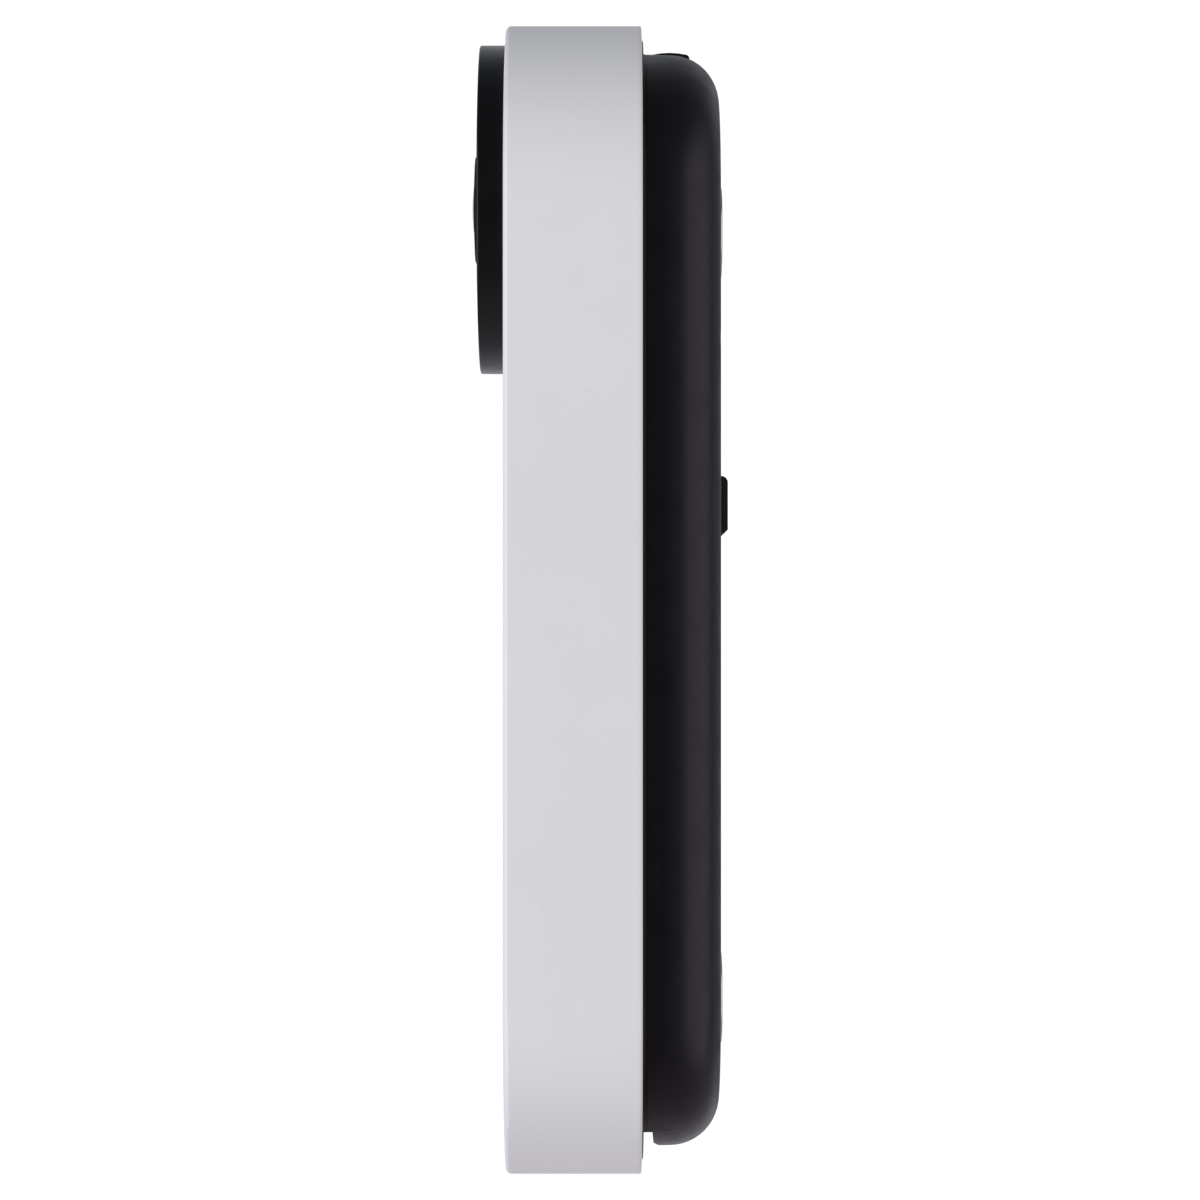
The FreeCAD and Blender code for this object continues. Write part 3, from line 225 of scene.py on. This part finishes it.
def contact_steel():
    """Turned metal: fine rings about the middle of each of the two contacts."""
    paint = Paint("contact_steel", (0.58, 0.57, 0.55), 0.24, Metallic=1.0)
    middles = [sum(corner.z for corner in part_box(node)) / 2 for node in ("upper_contact", "lower_contact")]
    split = paint.add("ShaderNodeSeparateXYZ")
    paint.link(paint.coord.outputs["Object"], split.inputs["Vector"])
    height = split.outputs["Z"]
    for operation, value in (
        ("SUBTRACT", sum(middles) / 2),
        ("ABSOLUTE", 0.0),
        ("SUBTRACT", abs(middles[0] - middles[1]) / 2),
    ):
        step = paint.add("ShaderNodeMath", operation=operation)
        paint.link(height, step.inputs[0])
        step.inputs[1].default_value = value
        height = step.outputs["Value"]
    across = paint.add("ShaderNodeCombineXYZ")
    paint.link(split.outputs["X"], across.inputs["X"])
    paint.link(height, across.inputs["Z"])
    radius = paint.add("ShaderNodeVectorMath", operation="LENGTH")
    paint.link(across.outputs["Vector"], radius.inputs[0])
    rings = paint.add("ShaderNodeTexNoise", noise_dimensions="1D")
    rings.inputs["Scale"].default_value = 1 / 0.00012
    paint.link(radius.outputs["Value"], rings.inputs["W"])
    paint.rough(rings.outputs["Fac"], 0.16, 0.36)
    paint.bump(rings.outputs["Fac"], 0.000004)
    paint.tint(paint.noise(0.003, 3.0, contrast=(0.45, 0.75)), (0.54, 0.53, 0.51))
    return paint.mat


def board(name, color):
    """Solder mask over copper: fine straight tracks show as raised, lighter lines."""
    paint = Paint(name, color, 0.3, Coat_Weight=0.4, Coat_Roughness=0.2)
    tracks = paint.noise(0.0007, 0.0, stretch=(1, 1, 0.12), contrast=(0.52, 0.56))
    paint.tint(tracks, tuple(min(1.0, c * 1.7 + 0.01) for c in color))
    paint.rough(paint.noise(0.002, 3.0), 0.24, 0.38)
    paint.bump(tracks, 0.000012)
    return paint.mat


def foam(name, color):
    paint = Paint(name, color, 0.9)
    cells = paint.add("ShaderNodeTexVoronoi")
    cells.inputs["Scale"].default_value = 1 / 0.0006
    paint.link(paint.coord.outputs["Object"], cells.inputs["Vector"])
    paint.tint(paint.ranged(cells.outputs["Distance"], 0.0, 0.6, 0.0, 1.0), tuple(c * 1.6 for c in color))
    paint.bump(cells.outputs["Distance"], 0.00008)
    paint.rough(paint.noise(0.001), 0.82, 0.95)
    return paint.mat


def all_materials():
    """The material of each material slot in the record."""
    return {
        "casing_white": casing_white(),
        "shell_black": shell_black(),
        "ring_black": ring_black(),
        "cover_black": cover_black(),
        "trim_black": plain(
            "trim_black", (0.003, 0.003, 0.0035), 0.45, depth=0.000003, Specular_IOR_Level=0.06
        ),
        "lens_window": glassy("lens_window", (0.62, 0.64, 0.68)),
        "lens_glass": glassy("lens_glass", (0.55, 0.50, 0.85), 1.6),
        "barrel_black": plain("barrel_black", (0.012, 0.012, 0.012), 0.5),
        "button_white": plain(
            "button_white", (0.76, 0.765, 0.78), 0.36, grain=0.0002, depth=0.000004, shade=0.985
        ),
        "diffuser": plain(
            "diffuser", (0.82, 0.85, 0.88), 0.5, depth=0.000003, shade=0.97, Subsurface_Weight=0.2
        ),
        "rubber_black": plain(
            "rubber_black", (0.008, 0.008, 0.009), 0.42, grain=0.0003, depth=0.000006, Specular_IOR_Level=0.4
        ),
        "rubber_grey": plain("rubber_grey", (0.10, 0.10, 0.105), 0.6, grain=0.0003),
        "frame_black": plain("frame_black", (0.02, 0.02, 0.021), 0.5),
        "board_green": board("board_green", (0.01, 0.085, 0.04)),
        "board_black": board("board_black", (0.008, 0.008, 0.01)),
        "chip_black": plain("chip_black", (0.015, 0.015, 0.016), 0.45, grain=0.0001),
        "lamp_clear": plain("lamp_clear", (0.75, 0.74, 0.66), 0.15, depth=0.000001),
        "shield_tin": metal("shield_tin", (0.62, 0.62, 0.60), 0.32),
        "screw_steel": metal("screw_steel", (0.42, 0.42, 0.44), 0.34),
        "contact_steel": contact_steel(),
        "brass_lug": metal("brass_lug", (0.68, 0.50, 0.22), 0.3),
        "battery_wrap": plain("battery_wrap", (0.05, 0.07, 0.12), 0.3, grain=0.0008, depth=0.00001),
        "foam_grey": foam("foam_grey", (0.04, 0.04, 0.042)),
        "flex_amber": plain("flex_amber", (0.42, 0.16, 0.02), 0.25, depth=0.000002),
        "wire_red": plain("wire_red", (0.35, 0.015, 0.015), 0.35),
        "cone_paper": plain("cone_paper", (0.02, 0.02, 0.02), 0.55, grain=0.0006, depth=0.00002),
    }


def dress_nodes():
    """Gives every carried-over CAD node the material of its slot."""
    materials = all_materials()
    slots = {part["node"]: part["material_slot"] for part in frame["record"]["subparts"]}
    for name, node in frame["nodes"].items():
        node.data.materials.clear()
        node.data.materials.append(materials[slots[name]])


# ---------------------------------------------------------------- studio
def soft_box(name, place, size, watts):
    data = bpy.data.lights.new(name, "AREA")
    data.shape = "RECTANGLE"
    data.size, data.size_y = size
    data.energy = watts
    light = bpy.data.objects.new(name, data)
    light.location = place
    light.rotation_euler = (Vector(LIGHT_AIM) - Vector(place)).to_track_quat("-Z", "Y").to_euler()
    bpy.context.scene.collection.objects.link(light)


def studio_world():
    """The light of the room: bright behind the doorbell and below, bluer above and pinker below."""
    world = bpy.data.worlds.new("studio_world")
    world.use_nodes = True
    nodes, links = world.node_tree.nodes, world.node_tree.links
    background = nodes["Background"]
    coord = nodes.new("ShaderNodeTexCoord")
    split = nodes.new("ShaderNodeSeparateXYZ")
    links.new(coord.outputs["Generated"], split.inputs["Vector"])
    height = nodes.new("ShaderNodeMapRange")
    height.inputs["From Min"].default_value = -1.0
    links.new(split.outputs["Z"], height.inputs["Value"])
    tint = nodes.new("ShaderNodeMix")
    tint.data_type = "RGBA"
    tint.inputs[MIX_A].default_value = COLOR_BELOW
    tint.inputs[MIX_B].default_value = COLOR_ABOVE
    links.new(height.outputs["Result"], tint.inputs[MIX_FACTOR])
    links.new(tint.outputs[MIX_RESULT], background.inputs["Color"])
    total = None
    for angle, strength in WORLD_LOBES:
        middle = math.radians(angle)
        along = nodes.new("ShaderNodeVectorMath")
        along.operation = "DOT_PRODUCT"
        along.inputs[1].default_value = (math.cos(middle), 0.0, math.sin(middle))
        links.new(coord.outputs["Generated"], along.inputs[0])
        lobe = nodes.new("ShaderNodeMapRange")
        lobe.interpolation_type = "SMOOTHSTEP"
        for socket, value in zip(RANGE_SOCKETS, (LOBE_EDGE, 1.0, 0.0, strength)):
            lobe.inputs[socket].default_value = value
        links.new(along.outputs["Value"], lobe.inputs["Value"])
        plus = nodes.new("ShaderNodeMath")
        plus.inputs[0].default_value = WORLD_EVEN
        if total is not None:
            links.new(total, plus.inputs[0])
        links.new(lobe.outputs["Result"], plus.inputs[1])
        total = plus.outputs["Value"]
    links.new(total, background.inputs["Strength"])
    bpy.context.scene.world = world


def stage_disc(name, z, radius, material):
    bm = bmesh.new()
    bmesh.ops.create_circle(bm, cap_ends=True, radius=radius, segments=128)
    disc = stage_mesh(name, bm, material)
    disc.location = (0, 0, z)
    return disc


def stage_mesh(name, bm, material):
    mesh = bpy.data.meshes.new(name)
    bm.to_mesh(mesh)
    bm.free()
    mesh.materials.append(material)
    obj = bpy.data.objects.new(name, mesh)
    bpy.context.scene.collection.objects.link(obj)
    return obj


def only_seen(obj):
    """The camera sees it, and it lights nothing and shades nothing."""
    obj.visible_diffuse = False
    obj.visible_glossy = False
    obj.visible_transmission = False
    obj.visible_volume_scatter = False
    obj.visible_shadow = False


def studio_white():
    paint = Paint("studio_white", (0, 0, 0), 1.0, Specular_IOR_Level=0.0, Emission_Strength=1.05)
    paint.shader.inputs["Emission Color"].default_value = (1, 1, 1, 1)
    return paint.mat


def studio_floor():
    """A pale floor well under the doorbell, which fades into a white surround and blocks no light."""
    paint = Paint("studio_floor", (0.86, 0.86, 0.87), 0.8)
    paint.rough(paint.noise(0.05), 0.75, 0.85)
    distance = paint.add("ShaderNodeVectorMath", operation="LENGTH")
    paint.link(paint.coord.outputs["Object"], distance.inputs[0])
    fade = paint.ranged(distance.outputs["Value"], FLOOR_SOLID, FLOOR_RADIUS * FLOOR_FADED, 1.0, 0.0)
    paint.link(fade, paint.shader.inputs["Alpha"])
    only_seen(stage_disc("studio_floor", FLOOR_Z, FLOOR_RADIUS, paint.mat))
    white = studio_white()
    only_seen(stage_disc("studio_ground", FLOOR_Z - SURROUND_GAP, SURROUND_RADIUS, white))
    bm = bmesh.new()
    bmesh.ops.create_uvsphere(bm, u_segments=64, v_segments=32, radius=SURROUND_RADIUS)
    only_seen(stage_mesh("studio_surround", bm, white))


def studio_camera():
    data = bpy.data.cameras.new("camera")
    data.lens = CAMERA_LENS
    data.sensor_width = 36.0
    data.clip_start = 0.01
    camera = bpy.data.objects.new("camera", data)
    camera.location = CAMERA_AT
    camera.rotation_euler = (math.radians(90), 0, math.radians(90))
    bpy.context.scene.collection.objects.link(camera)
    bpy.context.scene.camera = camera


def studio():
    studio_world()
    studio_floor()
    studio_camera()
    for box in SOFT_BOXES:
        soft_box(*box)
    view = bpy.context.scene.view_settings
    view.view_transform = "Standard"
    view.look = "None"


dress_nodes()
studio()
